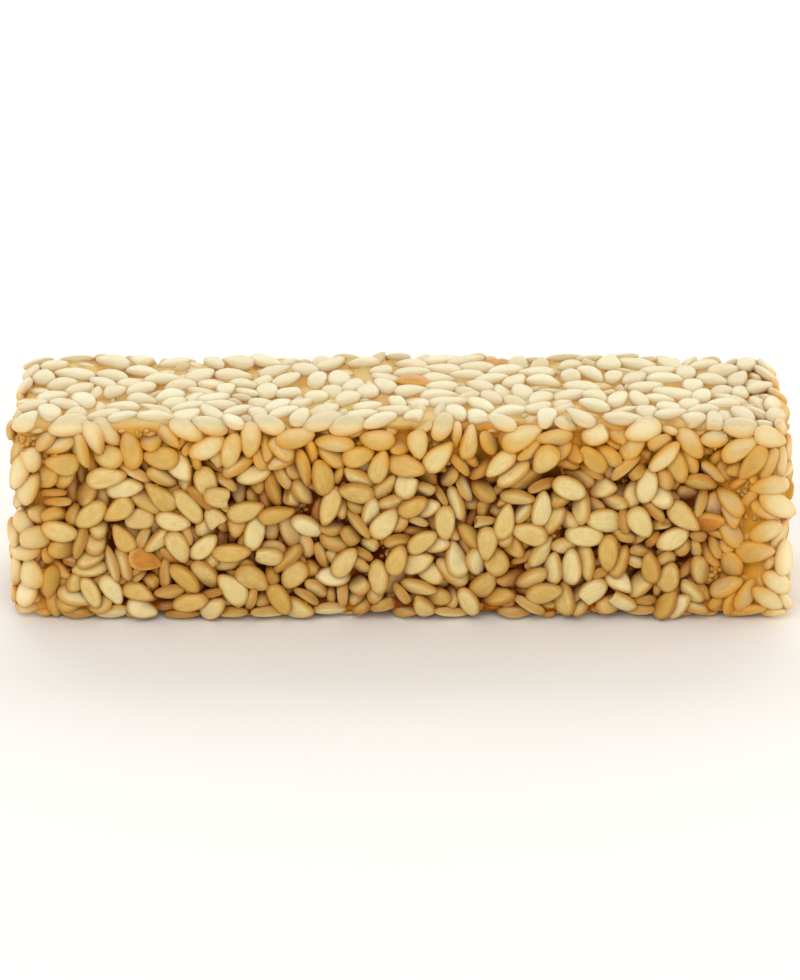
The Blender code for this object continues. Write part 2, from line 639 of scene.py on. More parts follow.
    def push(self, middles: np.ndarray, turns: np.ndarray, scales: np.ndarray, rounds: int,
             first_size: float) -> tuple[np.ndarray, np.ndarray]:
        """Push the seeds apart and in from the walls while they grow to their full size.

        Args:
            middles: the seeds' middles.
            turns: their turns as quaternions.
            scales: their scales.
            rounds: how many times each seed is moved.
            first_size: the share of the full size that they start at.

        Returns:
            The new middles and turns.
        """
        count, balls_each = len(middles), len(self.ball_places())
        owner = np.repeat(np.arange(count), balls_each)
        centre_balls = np.arange(count) * balls_each + 2
        radius = np.repeat(scales[:, 2] * self.shape.thickness / 2.0, balls_each)
        growing = min(self.growth_rounds, rounds)
        for number in range(rounds):
            growth = first_size + (1.0 - first_size) * min(1.0, number / growing)
            axes = self.seed_axes(turns)
            arms = (self.arms(axes, scales) * growth).reshape(-1, 3)
            balls = middles[owner] + arms
            size = radius * growth
            if number % self.search_every == 0:
                first, second = self.close_pairs(balls, owner,
                                                 2.0 * size.max() + self.reach_margin)
            between = balls[first] - balls[second]
            apart = np.maximum(lengths(between), 1e-9)
            overlap = (size[first] + size[second])[:, None] - apart
            touching = overlap[:, 0] > 0.0
            apart_push = 0.5 * overlap[touching] * between[touching] / apart[touching]
            distance, outward = self.bar.wall(balls)
            outside = np.maximum(distance + size, 0.0)[:, None]
            too_deep = np.maximum(-distance - self.shell, 0.0)[:, None]
            against = np.flatnonzero((outside[:, 0] > 0.0) | (too_deep[:, 0] > 0.0))
            pushed = np.concatenate([first[touching], second[touching], against])
            pushes = np.concatenate([apart_push, -apart_push,
                                     ((too_deep - outside) * outward)[against]])
            seeds = owner[pushed]
            contacts = np.sqrt(np.maximum(np.bincount(seeds, minlength=count), 1))[:, None]
            move = self.gather(seeds, pushes, count) / contacts * self.ease
            twist = self.gather(seeds, np.cross(arms[pushed], pushes), count)
            twist = twist / contacts / self.swing ** 2 * self.ease
            out = outward[centre_balls]
            face = axes[:, 2] * np.sign(dot(axes[:, 2], out))[:, None]
            flat = self.cut_flat + (self.press_flat - self.cut_flat) * np.abs(out[:, 2:3])
            near = np.exp(-(distance[centre_balls] / self.flat_reach) ** 2)[:, None]
            twist += flat * near * np.cross(face, out)
            middles = middles + np.clip(move, -self.longest_move, self.longest_move)
            turns = self.spin(turns, np.clip(twist, -self.largest_turn, self.largest_turn))
        log.info("pushed %d seeds, mean overlap %.3f mm", count,
                 1000.0 * float(overlap[touching].mean()))
        return middles, turns

    def gaps(self, seeds: PackedSeeds, dice: np.random.Generator) -> np.ndarray:
        """Find the bare places between the seeds of the top.

        Args:
            seeds: the settled seeds.
            dice: the random draws.

        Returns:
            The middles of seeds that would fill them.
        """
        bar = self.bar
        count = np.ceil(2.0 * bar.half[:2] / self.gap_cell).astype(int)
        corner = bar.middle[:2] - bar.half[:2]
        covered = np.zeros(count, dtype=bool)
        balls = (seeds.middles[:, None] + self.arms(seeds.axes, seeds.scales)).reshape(-1, 3)
        top = bar.middle[2] + bar.half[2]
        balls = balls[balls[:, 2] > top - self.gap_look]
        spot = np.floor((balls[:, :2] - corner) / self.gap_cell).astype(int)
        reach = int(round(0.5 * self.shape.thickness / self.gap_cell)) + 1
        for a in range(-reach, reach + 1):
            for b in range(-reach, reach + 1):
                if a * a + b * b <= (reach + 0.4) ** 2:
                    cell = np.clip(spot + (a, b), 0, count - 1)
                    covered[cell[:, 0], cell[:, 1]] = True
        bare = ~covered
        border = self.gap_border
        bare[:border] = bare[-border:] = bare[:, :border] = bare[:, -border:] = False
        wide = bare & np.roll(bare, 1, 0) & np.roll(bare, -1, 0)
        wide &= np.roll(bare, 1, 1) & np.roll(bare, -1, 1)
        found = corner + (np.argwhere(wide) + 0.5) * self.gap_cell
        chosen: list[np.ndarray] = []
        for place in found[dice.permutation(len(found))]:
            if all(abs(place - other).max() > self.gap_spacing for other in chosen):
                chosen.append(place)
        log.info("filled %d gaps in the top", len(chosen))
        depth = self.gap_depth + self.gap_swing * dice.random(len(chosen))
        return np.column_stack([np.array(chosen).reshape(-1, 2), top - depth])

    def settle(self, dice: np.random.Generator) -> PackedSeeds:
        """Push the seeds into place, fill the gaps of the top and push again.

        Args:
            dice: the random draws.

        Returns:
            The seeds where they end up.
        """
        middles, turns, scales = self.start(dice)
        middles, turns = self.push(middles, turns, scales, self.rounds, self.first_size)
        whole = np.full(len(middles), WHOLE)
        seeds = PackedSeeds(middles, self.seed_axes(turns), scales, whole)
        added = self.gaps(seeds, dice)
        angle = dice.uniform(0.0, math.pi, len(added))
        lying = np.column_stack([np.cos(angle), 0.0 * angle, 0.0 * angle, np.sin(angle)])
        small = dice.uniform(*self.gap_scales, (len(added), 3))
        middles, turns = np.vstack([middles, added]), np.vstack([turns, lying])
        scales = np.vstack([scales, small])
        middles, turns = self.push(middles, turns, scales, self.gap_rounds, self.second_size)
        return PackedSeeds(middles, self.seed_axes(turns), scales,
                           np.full(len(middles), WHOLE))

    def highest(self, seeds: PackedSeeds) -> tuple[np.ndarray, np.ndarray]:
        """How far below the outer form each seed's outermost part lies.

        Args:
            seeds: the settled seeds.

        Returns:
            The depth of the nearest part, and the way out at the seed's middle.
        """
        arms = self.arms(seeds.axes, seeds.scales)
        distance, outward = self.bar.wall(seeds.middles[:, None] + arms)
        nearest = distance.max(axis=1) + seeds.scales[:, 2] * self.shape.thickness / 2.0
        return -nearest, outward[:, 2]


# --------------------------------------------------------------------------------------
# The syrup
# --------------------------------------------------------------------------------------

@dataclass
class SyrupSkin:
    """The set syrup: a skin drawn between the seeds, over a solid middle.

    The skin is worked out on a grid of points as a smooth union of all seeds, which bridges narrow
    gaps as surface tension does, and of a level that fills the pan below the outer seeds.
    """

    bar: PressedBar
    shape: SeedShape
    step: float = 0.30 * MM
    bridge: float = 0.13 * MM
    sunk: float = 0.15 * MM
    sunk_pressed: float = 0.10 * MM
    sunk_edge: float = 0.11 * MM
    edge_reach: float = 3.0 * MM
    pressed_level: float = 0.66 * MM
    cut_level: float = 1.95 * MM
    end_level: float = 0.92 * MM
    right_pool: tuple[float, float] = (2.5 * MM, 6.5 * MM)
    left_pool: tuple[float, float] = (0.4 * MM, 3.2 * MM)
    left_share: float = 0.85
    level_swing: float = 0.35 * MM
    level_lump: float = 5.2 * MM
    pressed_calm: float = 0.75
    edge_start: float = 0.5 * MM
    blend: float = 0.12 * MM
    proudest: float = 0.02 * MM
    off_floor: float = 0.15 * MM
    union_reach: float = 6.0
    union_cap: float = 12.0
    margin: float = 1.2 * MM
    triangle_limit: int = 188000

    def grid(self) -> tuple[np.ndarray, tuple[int, int, int]]:
        """Lay out the grid.

        Returns:
            Its lowest corner and its number of points each way.
        """
        low = self.bar.low - self.margin
        count = np.ceil((self.bar.high + self.margin - low) / self.step).astype(int) + 1
        return low, tuple(int(n) for n in count)

    def measure(self, seeds: PackedSeeds) -> None:
        """Fill the grid with the distance out of the smooth union of the seeds.

        Args:
            seeds: the settled seeds.
        """
        self.origin, count = self.grid()
        total = np.zeros(count)
        half = np.array([self.shape.length, self.shape.width, self.shape.thickness]) / 2.0
        reach = self.union_reach * self.bridge
        for middle, axes, scale, broken in zip(seeds.middles, seeds.axes, seeds.scales,
                                               seeds.broken_at):
            radii = half * scale
            if broken < WHOLE:
                kept = (0.5 + broken) / 2.0
                middle = middle - axes[0] * radii[0] * (0.5 - broken)
                radii = radii * (2.0 * kept, 1.0, 1.0)
            extent = np.sqrt(((axes * radii[:, None]) ** 2).sum(axis=0)) + reach
            start = np.maximum(np.floor((middle - extent - self.origin) / self.step), 0)
            stop = np.minimum(np.ceil((middle + extent - self.origin) / self.step) + 1, count)
            start, stop = start.astype(int), stop.astype(int)
            ticks = [self.origin[a] + self.step * np.arange(start[a], stop[a]) - middle[a]
                     for a in range(3)]
            x, y, z = ticks[0][:, None, None], ticks[1][None, :, None], ticks[2][None, None, :]
            near = far = 0.0
            for axis, radius in zip(axes, radii):
                along = axis[0] * x + axis[1] * y + axis[2] * z
                near = near + (along / radius) ** 2
                far = far + (along / radius ** 2) ** 2
            near = np.sqrt(near)
            distance = near * (near - 1.0) / np.maximum(np.sqrt(far), 1e-9)
            block = tuple(slice(start[a], stop[a]) for a in range(3))
            total[block] += np.exp(np.minimum(-distance / self.bridge, self.union_cap))
        self.union = -self.bridge * np.log(np.maximum(total, 1e-9))

    def places(self) -> np.ndarray:
        """The place of every point of the grid."""
        ticks = [self.origin[a] + self.step * np.arange(self.union.shape[a]) for a in range(3)]
        return np.stack(np.meshgrid(*ticks, indexing="ij"), axis=-1)

    def filled(self) -> np.ndarray:
        """Put the bridged seeds and the filled pan together.

        Returns:
            The distance out of the syrup at each point of the grid.
        """
        places = self.places()
        distance, outward = self.bar.wall(places)
        # Slow lumps and fine ones in the level that the syrup fills the pan to.
        x, y, z = (places[..., a] * (TURN / self.level_lump) for a in range(3))
        lumps = np.sin(x + 0.6 * z + 0.7) + np.sin(1.3 * z - 0.5 * x + 0.9 * y + 2.0)
        lumps = lumps + np.sin(2.1 * x - 1.7 * z + 1.3 * y + 5.1)
        pressed = np.abs(outward[..., 2])
        level = self.cut_level + (self.pressed_level - self.cut_level) * pressed
        fine = np.sin(4.3 * x + 1.0) * np.sin(3.7 * z + 2.0) + np.sin(5.9 * y + 4.9 * x)
        swing = (lumps + 0.5 * fine) * (1.0 - self.pressed_calm * pressed)
        level = level + self.level_swing * swing * 0.5
        # Near the ends it is fuller, from the pools that ran to the edge of the pan.
        along = places[..., 0] - self.bar.middle[0]
        from_edge = self.bar.from_edge(places)
        to_right = np.maximum(self.bar.half[0] - along, from_edge)
        to_left = np.maximum(self.bar.half[0] + along, from_edge)
        filled = np.maximum(1.0 - smooth_step(*self.right_pool, to_right),
                            self.left_share * (1.0 - smooth_step(*self.left_pool, to_left)))
        level = level + (self.end_level - level) * filled
        pool = distance + level
        sunk = self.sunk + (self.sunk_pressed - self.sunk) * pressed
        near_edge = 1.0 - smooth_step(self.edge_start, self.edge_reach, from_edge)
        sunk = sunk + (self.sunk_edge - sunk) * near_edge
        skin = self.union + sunk
        # The seeds' skin and the pool run into each other, inside the form and off the floor.
        both = np.clip(0.5 + 0.5 * (pool - skin) / self.blend, 0.0, 1.0)
        syrup = pool + (skin - pool) * both - self.blend * both * (1.0 - both)
        over = distance + self.proudest
        rest = self.bar.low[2] + self.off_floor - places[..., 2]
        return np.maximum(np.maximum(syrup, over), rest)

    def net(self, values: np.ndarray) -> tuple[np.ndarray, np.ndarray]:
        """Draw the surface where the values on the grid pass through zero.

        Args:
            values: the distance out of the solid at each point of the grid.

        Returns:
            The surface's points and its four-sided faces.
        """
        inside = values < 0.0
        cells = tuple(n - 1 for n in values.shape)
        corner_steps = [(a, b, c) for a in (0, 1) for b in (0, 1) for c in (0, 1)]
        full = np.zeros(cells, dtype=np.int8)
        for a, b, c in corner_steps:
            full += inside[a:a + cells[0], b:b + cells[1], c:c + cells[2]]
        mixed = np.argwhere((full > 0) & (full < 8))
        number = np.full(cells, -1, dtype=np.int64)
        number[tuple(mixed.T)] = np.arange(len(mixed))
        corners = [values[mixed[:, 0] + a, mixed[:, 1] + b, mixed[:, 2] + c]
                   for a, b, c in corner_steps]
        total = np.zeros((len(mixed), 3))
        crossings = np.zeros(len(mixed))
        for one in range(8):
            for other in range(one + 1, 8):
                start, stop = np.array(corner_steps[one]), np.array(corner_steps[other])
                if np.abs(stop - start).sum() != 1:
                    continue
                low, high = corners[one], corners[other]
                crossed = (low < 0.0) != (high < 0.0)
                part = np.where(crossed, low / np.where(crossed, low - high, 1.0), 0.0)
                total += crossed[:, None] * (start + part[:, None] * (stop - start))
                crossings += crossed
        points = self.origin + self.step * (mixed + total / crossings[:, None])
        faces = []
        for axis in range(3):
            up, across = (axis + 1) % 3, (axis + 2) % 3
            ahead = [slice(None)] * 3
            behind = [slice(None)] * 3
            ahead[axis], behind[axis] = slice(1, None), slice(None, -1)
            changes = inside[tuple(behind)] != inside[tuple(ahead)]
            spots = np.argwhere(changes)
            spots = spots[(spots[:, up] > 0) & (spots[:, across] > 0)]
            leaving = inside[tuple(spots.T)]
            ring = []
            for step_up, step_across in ((0, 0), (1, 0), (1, 1), (0, 1)):
                cell = spots.copy()
                cell[:, up] -= step_up
                cell[:, across] -= step_across
                ring.append(number[tuple(cell.T)])
            quads = np.stack(ring, axis=1)
            quads[~leaving] = quads[~leaving][:, ::-1]
            faces.append(quads)
        return points, np.vstack(faces)

    def sample(self, points: np.ndarray) -> np.ndarray:
        """Read the smooth union between the points of the grid.

        Args:
            points: places in the frame.

        Returns:
            The distance out of the union at each place.
        """
        spot = (points - self.origin) / self.step
        cell = np.clip(np.floor(spot).astype(int), 0, np.array(self.union.shape) - 2)
        part = spot - cell
        found = np.zeros(len(points))
        for a in (0, 1):
            for b in (0, 1):
                for c in (0, 1):
                    share = (np.abs(1 - a - part[:, 0]) * np.abs(1 - b - part[:, 1])
                             * np.abs(1 - c - part[:, 2]))
                    found += share * self.union[cell[:, 0] + a, cell[:, 1] + b, cell[:, 2] + c]
        return found

    def build(self) -> bpy.types.Object:
        """Make the syrup's mesh, thinned to its limit of triangles.

        Returns:
            The syrup as one closed piece.
        """
        points, quads = self.net(self.filled())
        triangles = np.vstack([quads[:, [0, 1, 2]], quads[:, [0, 2, 3]]])
        piece = mesh_object("set_syrup", points, triangles)
        whole = len(triangles)
        if whole > self.triangle_limit:
            thin = piece.modifiers.new("thin", "DECIMATE")
            thin.ratio = self.triangle_limit / whole
            graph = bpy.context.evaluated_depsgraph_get()
            thinned = bpy.data.meshes.new_from_object(piece.evaluated_get(graph))
            piece.modifiers.clear()
            piece.data = thinned
            thinned.shade_smooth()
        log.info("syrup: %d triangles from %d", triangle_count(piece), whole)
        return piece


@dataclass
class CrumbScatter:
    """Clusters of crumbs of syrup and husk that stick to the bare syrup of the cut sides."""

    bar: PressedBar
    clusters: int = 230
    crumbly_place: float = 4.5 * MM
    crumbly_spread: float = 3.0 * MM
    share: tuple[float, float] = (0.26, 0.74)
    fewer_on_ends: float = 0.8
    clear_of_seeds: float = 0.05 * MM
    deepest: float = 2.3 * MM
    steepest: float = 0.5
    cluster_reach: tuple[float, float] = (0.5 * MM, 1.6 * MM)
    in_cluster: tuple[int, int] = (4, 16)
    radius: tuple[float, float] = (0.11 * MM, 0.34 * MM)
    squash: tuple[float, float] = (0.65, 1.25)
    roughness: float = 0.28
    around: int = 7
    rings: int = 4

    def ball(self) -> np.ndarray:
        """Shape one round crumb with a radius of 1.

        Returns:
            Its points, in the order that SeedShape's faces ask for.
        """
        angle = np.arange(self.around) * (TURN / self.around)
        slope = (np.arange(1, self.rings) / self.rings - 0.5) * math.pi
        ball = np.stack([np.outer(np.cos(slope), np.cos(angle)),
                         np.outer(np.cos(slope), np.sin(angle)),
                         np.repeat(np.sin(slope), self.around).reshape(-1, self.around)], -1)
        return np.vstack([ball.reshape(-1, 3), [(0, 0, -1), (0, 0, 1)]])

    def build(self, syrup: bpy.types.Object, union: SyrupSkin,
              dice: np.random.Generator) -> bpy.types.Object:
        """Scatter the crumbs, most of them in the crumbly band near the right end.

        Args:
            syrup: the syrup, whose skin the crumbs stick to.
            union: the seeds' own surface, which stays clear of crumbs.
            dice: the random draws.

        Returns:
            All crumbs as one piece.
        """
        skin = vertices(syrup)
        distance, outward = self.bar.wall(skin)
        bare = union.sample(skin) > self.clear_of_seeds
        cut = np.abs(outward[:, 2]) < self.steepest
        open_skin = skin[cut & (distance > -self.deepest) & bare]
        spots = open_skin[dice.integers(len(open_skin), size=4 * self.clusters)]
        to_end = self.bar.middle[0] + self.bar.half[0] - spots[:, 0]
        crumbly = np.exp(-((to_end - self.crumbly_place) / self.crumbly_spread) ** 2)
        endward = np.abs(self.bar.wall(spots)[1][:, 0])
        share = (self.share[0] + self.share[1] * crumbly) * (1.0 - self.fewer_on_ends * endward)
        points, triangles, offset = [], [], 0
        ball, faces = self.ball(), SeedShape.faces(self.around, self.rings)
        for centre in spots[dice.random(len(spots)) < share]:
            reach = dice.uniform(*self.cluster_reach)
            near = open_skin[lengths(open_skin - centre)[:, 0] < reach]
            for place in near[dice.integers(len(near), size=dice.integers(*self.in_cluster))]:
                size = dice.uniform(*self.radius)
                rough = 1.0 + self.roughness * (dice.random((len(ball), 1)) - 0.5)
                squash = dice.uniform(*self.squash, 3)
                points.append(place + ball * rough * squash * size)
                triangles.append(faces + offset)
                offset += len(ball)
        return mesh_object("syrup_crumbs", np.vstack(points), np.vstack(triangles))


# --------------------------------------------------------------------------------------
# Finishes
# --------------------------------------------------------------------------------------

@dataclass(frozen=True)
class HulledSesame:
    """Hulled sesame, lightly toasted and left with a thin film of syrup.

    The bare kernel is a soft cream that light sinks into, with a finely pitted, satin skin. Where
    it meets the syrup it is stained honey gold, and the deeper it lies in the bar the browner and
    darker it is painted, as stain and as shade. Its rim is painted a little darker than its faces,
    partly for the syrup film there and partly as shade at the outline. Near the thin edges it is
    painted with a golden glow and made paler for the light that comes through, and on the top it is
    painted with a whitish sheen.
    """

    name: str
    face: str
    face_deep: str
    rim: str
    # The syrup's stain, also laid over seeds deep in the bar as painted shade.
    stain: str = "#B8701A"
    # Painted glow near the thin edges, where light comes through.
    glow: str = "#DFA437"
    # Painted paleness near the thin edges, where light comes through.
    pale: str = "#F2E6BA"
    # Painted whitish sheen on the top.
    painted_sheen: str = "#E5E0C0"
    # Painted shade for the parts of the seeds that lie deep in the bar.
    dark: str = "#743604"
    roughness: float = 0.45
    # How much of the painted sheen the seed takes.
    sheen_share: float = 0.60
    film: float = 0.25
    film_roughness: float = 0.28
    soak: float = 0.45 * MM
    mottle_size_mm: float = 0.8
    vein_size_mm: float = 0.24
    vein_stretch: tuple[float, float, float] = (0.22, 1.0, 1.0)
    grain_size_mm: float = 0.15
    grain_height: float = 0.028 * MM
    blotches: tuple[float, float, float, float] = (0.75, 1.30, -0.42, 0.55)
    # The rim's darkening, partly syrup film and partly painted shade, then the painted glow at the
    # rim and core.
    rim_film_and_shade: tuple[float, float, float, float] = (0.72, 1.0, 0.0, 0.88)
    rim_glow: tuple[float, float, float, float] = (0.40, 1.0, 0.10, 1.0)
    core_glow: tuple[float, float, float, float] = (0.72, 1.0, 0.0, 0.65)

    def material(self) -> bpy.types.Material:
        """Build the material.

        Returns:
            The material for one kind of seed.
        """
        made, tree = new_material(self.name)
        own, rim, wet, depth_shade, glow, pale, painted_sheen = (
            add_node(tree, "ShaderNodeAttribute", {"attribute_name": kept}).outputs["Fac"]
            for kept in ("tint", "rim", "wet", "depth_shade", "glow", "pale", "painted_sheen"))
        place = add_node(tree, "ShaderNodeTexCoord").outputs["Object"]
        lengthwise = add_node(tree, "ShaderNodeAttribute", {"attribute_name": "grain"})
        stretched = add_node(tree, "ShaderNodeVectorMath", {
            "operation": "MULTIPLY", 1: self.vein_stretch}, i0=lengthwise.outputs["Vector"])
        veins, mottle, pitting = (
            add_node(tree, "ShaderNodeTexNoise", {
                "Scale": scale, "Detail": detail, "Roughness": rough},
                Vector=where).outputs["Fac"]
            for scale, detail, rough, where in (
                (1.0 / self.vein_size_mm, 3.0, 0.6, stretched.outputs[0]),
                (1000.0 / self.mottle_size_mm, 4.0, 0.65, place),
                (1000.0 / self.grain_size_mm, 2.0, 0.55, place)))
        grain, uneven = (add_node(tree, "ShaderNodeMath", {"operation": "ADD"},
                                  i0=other, i1=veins).outputs[0] for other in (pitting, mottle))
        blotch, rim_part, from_rim, at_core = (
            add_node(tree, "ShaderNodeMapRange", dict(zip(MAP_RANGE, span)),
                     Value=value).outputs["Result"]
            for span, value in ((self.blotches, uneven), (self.rim_film_and_shade, rim),
                                (self.rim_glow, rim), (self.core_glow, glow)))
        shade = add_node(tree, "ShaderNodeMath", {"operation": "ADD", "use_clamp": True},
                         i0=own, i1=blotch).outputs[0]
        # Painted glow near the thin edges, stronger toward the seed's rim and core.
        at_rim = add_node(tree, "ShaderNodeMath", {"operation": "MULTIPLY"}, i0=glow, i1=from_rim)
        lit = add_node(tree, "ShaderNodeMath", {"operation": "MAXIMUM"},
                       i0=at_rim.outputs[0], i1=at_core).outputs[0]
        sheen, film = (add_node(tree, "ShaderNodeMath", {"operation": "MULTIPLY", 1: share},
                                 i0=painted_sheen).outputs[0] for share in (self.sheen_share, self.film))
        base = add_node(tree, "ShaderNodeMix", {
            "data_type": "RGBA", 6: linear(self.face), 7: linear(self.face_deep)},
            Factor=shade).outputs[2]
        # Over the seed's own colour: the rim's syrup film and painted shade, the syrup stain with
        # painted depth shade, painted pit shade, painted paleness and glow near the thin edges, and
        # the painted sheen of the top.
        for colour, share in ((self.rim, rim_part), (self.stain, wet), (self.dark, depth_shade),
                              (self.pale, pale), (self.glow, lit), (self.painted_sheen, sheen)):
            base = add_node(tree, "ShaderNodeMix", {"data_type": "RGBA", 7: linear(colour)},
                            Factor=share, i6=base).outputs[2]
        bump = add_node(tree, "ShaderNodeBump", {
            "Distance": self.grain_height, "Strength": 0.9}, Height=grain).outputs["Normal"]
        add_node(tree, "Principled BSDF", {
            "Roughness": self.roughness, "IOR": 1.42, "Subsurface Weight": 0.40,
            "Subsurface Radius": (1.0, 0.78, 0.42), "Subsurface Scale": self.soak,
            "Coat Roughness": self.film_roughness, "Coat IOR": 1.49},
            Base_Color=base, Normal=bump, Coat_Weight=film)
        return made


@dataclass(frozen=True)
class SetHoneySyrup:
    """Honey and sugar syrup boiled to the hard crack and set.

    It is a clear amber glass, golden where it is a thin skin between seeds. Further in it is
    painted orange and down in the pits dark brown, as shade, and near the thin edges it is painted
    with a golden glow. Small bubbles and sugar dust dull its shine. On the pressed top it is
    painted with a whitish sheen, and at the ends it is painted paler.
    """

    name: str = "set_honey_syrup"
    skin: str = "#CB8420"
    # Painted shade: orange a little way in, dark brown in the pits.
    shaded_syrup: str = "#964C06"
    pit_shade: str = "#642B03"
    # Painted glow near the thin edges.
    glow: str = "#E0A83A"
    # Painted whitish sheen on the top and painted paleness at the ends.
    painted_sheen: str = "#E2CA86"
    roughness: float = 0.42
    soak: float = 0.6 * MM
    bubble_size_mm: float = 0.40
    bubble_height: float = 0.10 * MM
    bubble_strength: float = 0.6
    cloud_size_mm: float = 1.6
    cloud_swing: tuple[float, float, float, float] = (0.3, 0.7, -0.22, 0.26)
    # Patches of the painted sheen on the syrup.
    sheen_patch_mm: float = 4.5
    sheen_patches: tuple[float, float, float, float] = (0.40, 0.56, 0.25, 0.90)
    glow_share: float = 0.75
    stops: tuple[float, float, float] = (0.05, 0.42, 0.85)

    def material(self) -> bpy.types.Material:
        """Build the material.

        Returns:
            The syrup's material.
        """
        made, tree = new_material(self.name)
        depth_shade, glow, painted_sheen = (
            add_node(tree, "ShaderNodeAttribute", {"attribute_name": kept}).outputs["Fac"]
            for kept in ("depth_shade", "glow", "painted_sheen"))
        place = add_node(tree, "ShaderNodeTexCoord").outputs["Object"]
        cloud, bubbles, sheen_noise = (
            add_node(tree, "ShaderNodeTexNoise", {"Scale": 1000.0 / size, "Detail": detail},
                     Vector=place).outputs["Fac"]
            for size, detail in ((self.cloud_size_mm, 3.0), (self.bubble_size_mm, 2.0),
                                 (self.sheen_patch_mm, 2.0)))
        swing, sheen_patches = (
            add_node(tree, "ShaderNodeMapRange", dict(zip(MAP_RANGE, span)),
                     Value=value).outputs["Result"]
            for span, value in ((self.cloud_swing, cloud), (self.sheen_patches, sheen_noise)))
        # The ramp paints shade by depth, with a random swing of tone, from the golden skin at the
        # surface to dark brown in the pits.
        level = add_node(tree, "ShaderNodeMath", {"operation": "ADD", "use_clamp": True},
                         i0=depth_shade, i1=swing).outputs[0]
        lit = add_node(tree, "ShaderNodeMath", {"operation": "MULTIPLY", 1: self.glow_share},
                       i0=glow).outputs[0]
        sheen = add_node(tree, "ShaderNodeMath", {"operation": "MULTIPLY"},
                          i0=painted_sheen, i1=sheen_patches).outputs[0]
        ramp = add_node(tree, "ShaderNodeValToRGB", Fac=level)
        stops = ramp.color_ramp.elements
        stops.new(self.stops[1])
        for stop, at, colour in zip(stops, self.stops, (self.skin, self.shaded_syrup, self.pit_shade)):
            stop.position, stop.color = at, linear(colour)
        base = ramp.outputs["Color"]
        # Painted glow near the thin edges, then the painted sheen of the top and the painted
        # paleness of the ends.
        for colour, share in ((self.glow, lit), (self.painted_sheen, sheen)):
            base = add_node(tree, "ShaderNodeMix", {"data_type": "RGBA", 7: linear(colour)},
                            Factor=share, i6=base).outputs[2]
        bump = add_node(tree, "ShaderNodeBump", {
            "Distance": self.bubble_height, "Strength": self.bubble_strength},
            Height=bubbles).outputs["Normal"]
        add_node(tree, "Principled BSDF", {
            "Roughness": self.roughness, "IOR": 1.49, "Subsurface Weight": 0.4,
            "Subsurface Radius": (1.0, 0.65, 0.25), "Subsurface Scale": self.soak,
            "Specular IOR Level": 0.05}, Base_Color=base, Normal=bump)
        return made


@dataclass(frozen=True)
class SyrupCrumb:
    """Crumbs of set syrup and husk that break off at the cut.

    Broken sugar scatters light at its many faces, so the crumbs look paler and duller than the
    clear skin that they stick to. Deeper in they are painted darker as shade, and near the thin
    edges they are painted with a golden glow.
    """

    name: str = "syrup_crumb"
    pale: str = "#EBC06A"
    dark: str = "#CE8A2A"
    # Painted shade for crumbs that lie deeper in.
    depth_shade: str = "#95500C"
    # Painted glow near the thin edges.
    glow: str = "#E2A03A"
    roughness: float = 0.42
    soak: float = 0.3 * MM
    mottle_size_mm: float = 1.2
    glow_share: float = 0.5

    def material(self) -> bpy.types.Material:
        """Build the material.

        Returns:
            The crumbs' material.
        """
        made, tree = new_material(self.name)
        depth_shade, glow = (
            add_node(tree, "ShaderNodeAttribute", {"attribute_name": kept}).outputs["Fac"]
            for kept in ("depth_shade", "glow"))
        place = add_node(tree, "ShaderNodeTexCoord").outputs["Object"]
        mottle = add_node(tree, "ShaderNodeTexNoise", {
            "Scale": 1000.0 / self.mottle_size_mm, "Detail": 2.0}, Vector=place).outputs["Fac"]
        lit = add_node(tree, "ShaderNodeMath", {"operation": "MULTIPLY", 1: self.glow_share},
                       i0=glow).outputs[0]
        base = add_node(tree, "ShaderNodeMix", {
            "data_type": "RGBA", 6: linear(self.pale), 7: linear(self.dark)},
            Factor=mottle).outputs[2]
        # Painted shade deeper in, then painted glow near the thin edges.
        for colour, share in ((self.depth_shade, depth_shade), (self.glow, lit)):
            base = add_node(tree, "ShaderNodeMix", {"data_type": "RGBA", 7: linear(colour)},
                            Factor=share, i6=base).outputs[2]
        add_node(tree, "Principled BSDF", {
            "Roughness": self.roughness, "IOR": 1.5, "Subsurface Weight": 0.5,
            "Subsurface Radius": (1.0, 0.5, 0.2), "Subsurface Scale": self.soak},
            Base_Color=base)
        return made


@dataclass(frozen=True)
class MattPaper:
    """Matt white paper under the bar, for a plain pale floor."""

    name: str = "matt_paper"
    colour: str = "#F6F4F0"
    roughness: float = 0.9

    def material(self) -> bpy.types.Material:
        """Build the material.

        Returns:
            The floor's material.
        """
        made, tree = new_material(self.name)
        add_node(tree, "Principled BSDF", {"Base Color": linear(self.colour),
                                           "Roughness": self.roughness})
        return made


SEED_FINISHES = {
    SeedKind.IVORY: HulledSesame("sesame_ivory", "#E6D6A2", "#DBC480", "#C08C2E"),
    SeedKind.CREAM: HulledSesame("sesame_cream", "#E2CC8E", "#D5B468", "#BA8226"),
    SeedKind.STRAW: HulledSesame("sesame_straw", "#DDC27C", "#CDA755", "#B27820"),
    SeedKind.GOLDEN: HulledSesame("sesame_golden", "#DAB668", "#CAA048", "#AE701A"),
    SeedKind.TOASTED: HulledSesame("sesame_toasted", "#D08E2E", "#B87416", "#DCAC56",
                                   sheen_share=0.06, film=0.05),
    SeedKind.SPLIT: HulledSesame("sesame_split", "#E3D096", "#D3B26A", "#BA862C"),
}


# --------------------------------------------------------------------------------------
# The bar
# --------------------------------------------------------------------------------------

